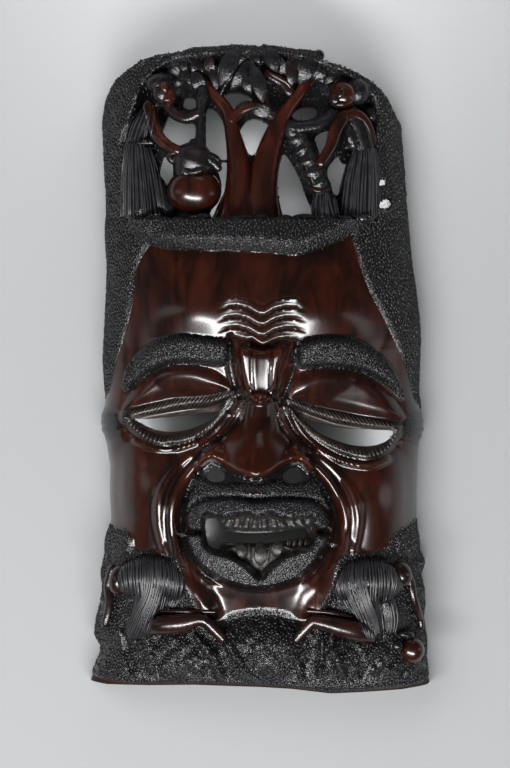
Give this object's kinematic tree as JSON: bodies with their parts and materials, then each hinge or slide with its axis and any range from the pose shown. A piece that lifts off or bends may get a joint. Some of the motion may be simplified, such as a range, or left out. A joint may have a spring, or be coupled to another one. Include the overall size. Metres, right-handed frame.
{
  "type": "carved wooden mask",
  "caption": "Large African carved hardwood mask: an aged face with slit eyes under a pierced crown scene of two figures and a tree, hollow behind.",
  "frame": {"origin": "under the middle of the block, on the plane of its flat back rim", "axes": "+Z out of the face, +Y towards the crown, +X to the viewer's right"},
  "size_m": [0.35, 0.6598, 0.1457],
  "materials": {
    "mask": "polished, blackened where it is stippled"
  },
  "bodies": {
    "root": {"mask": "mask"}
  },
  "joints": []
}
